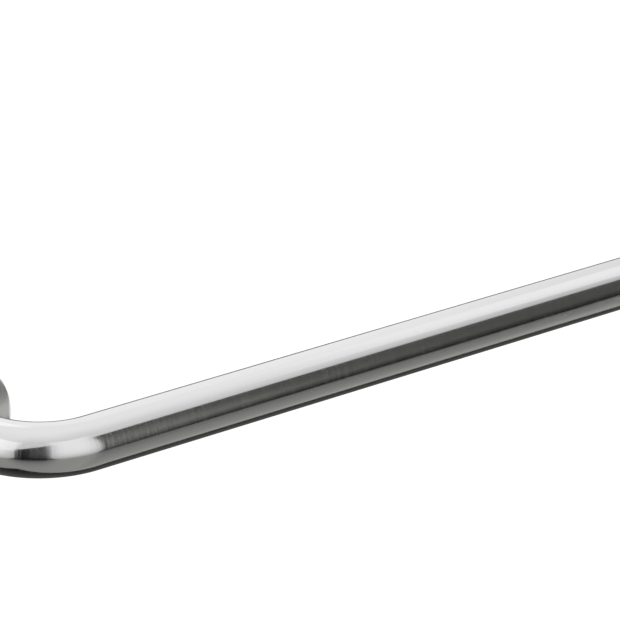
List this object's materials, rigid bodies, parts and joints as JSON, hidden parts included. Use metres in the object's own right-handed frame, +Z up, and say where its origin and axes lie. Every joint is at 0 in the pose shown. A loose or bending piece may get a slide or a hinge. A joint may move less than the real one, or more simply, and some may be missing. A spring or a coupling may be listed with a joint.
{
  "type": "grab bar",
  "caption": "Wall grab bar of bent satin stainless tube, with a straight grip, a bend and short leg at each end, and round screw flanges hidden by push-fit covers.",
  "frame": {"origin": "on the wall plane, midway between the centres of the two flanges", "axes": "+X along the grip, +Y into the wall, +Z up; the bar stands out towards -Y"},
  "size_m": [0.675, 0.092, 0.075],
  "materials": {
    "satin_stainless_tube": "satin, with fine hairline brushing that runs round the tube",
    "satin_stainless_sheet": "satin, brushed in circles about the cover's centre",
    "plain_stainless_plate": "mill finish, dull",
    "weld_metal": "as welded, cleaned, slightly rippled"
  },
  "bodies": {
    "root": {"grip_tube": "satin_stainless_tube", "left_mounting_flange": "plain_stainless_plate", "right_mounting_flange": "plain_stainless_plate", "left_weld_bead": "weld_metal", "right_weld_bead": "weld_metal", "left_cover": "satin_stainless_sheet", "right_cover": "satin_stainless_sheet"}
  },
  "joints": []
}
